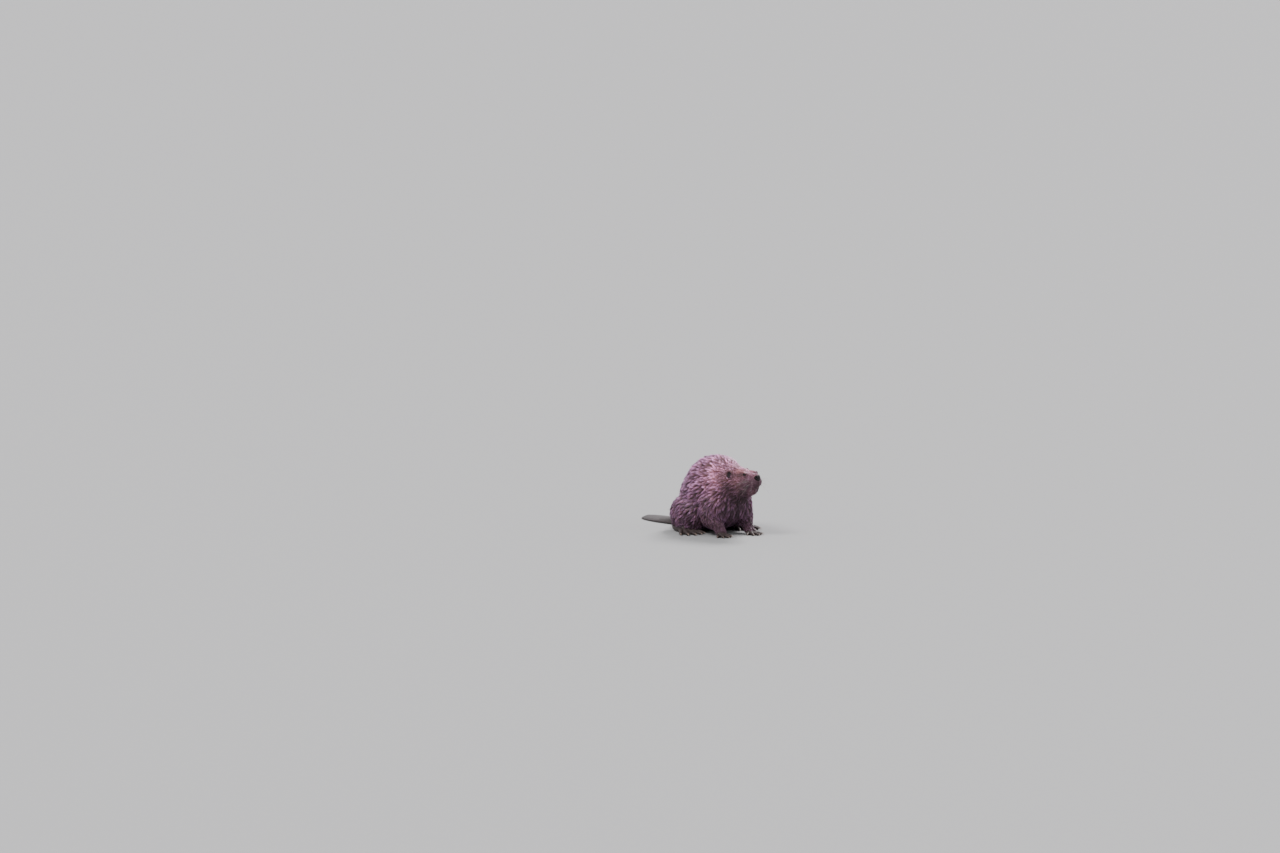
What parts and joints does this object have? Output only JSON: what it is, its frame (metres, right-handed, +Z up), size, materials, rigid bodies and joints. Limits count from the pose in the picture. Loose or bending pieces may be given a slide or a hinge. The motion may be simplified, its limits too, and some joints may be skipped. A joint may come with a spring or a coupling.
{
  "type": "beaver",
  "caption": "Beaver at life size, crouched with its head raised and turned a little to its left, standing still on its feet, belly and flat tail.",
  "frame": {"origin": "middle of the model's bounding box, at floor level", "axes": "+X is the way the body faces, +Y its left side, +Z up"},
  "size_m": [0.7124, 0.344, 0.2803],
  "materials": {
    "coat": "damp fur",
    "hide": "bare skin of the feet",
    "tail_hide": "scaly skin of the tail",
    "eye": "glossy",
    "claw": "satin horn"
  },
  "bodies": {
    "root": {"ear_left": "coat", "ear_right": "coat", "eye_left": "eye", "eye_right": "eye", "fore_claw_left_1": "claw", "fore_claw_left_2": "claw", "fore_claw_left_3": "claw", "fore_claw_left_4": "claw", "fore_claw_left_5": "claw", "fore_claw_right_1": "claw", "fore_claw_right_2": "claw", "fore_claw_right_3": "claw", "fore_claw_right_4": "claw", "fore_claw_right_5": "claw", "fore_foot_left": "hide", "fore_foot_right": "hide", "fore_leg_left": "coat", "fore_leg_right": "coat", "head": "coat", "hind_claw_left_1": "claw", "hind_claw_left_2": "claw", "hind_claw_left_3": "claw", "hind_claw_left_4": "claw", "hind_claw_left_5": "claw", "hind_claw_right_1": "claw", "hind_claw_right_2": "claw", "hind_claw_right_3": "claw", "hind_claw_right_4": "claw", "hind_claw_right_5": "claw", "hind_foot_left": "hide", "hind_foot_right": "hide", "hind_leg_left": "coat", "hind_leg_right": "coat", "neck": "coat", "tail_paddle": "tail_hide", "tail_root": "coat", "trunk": "coat"}
  },
  "joints": []
}
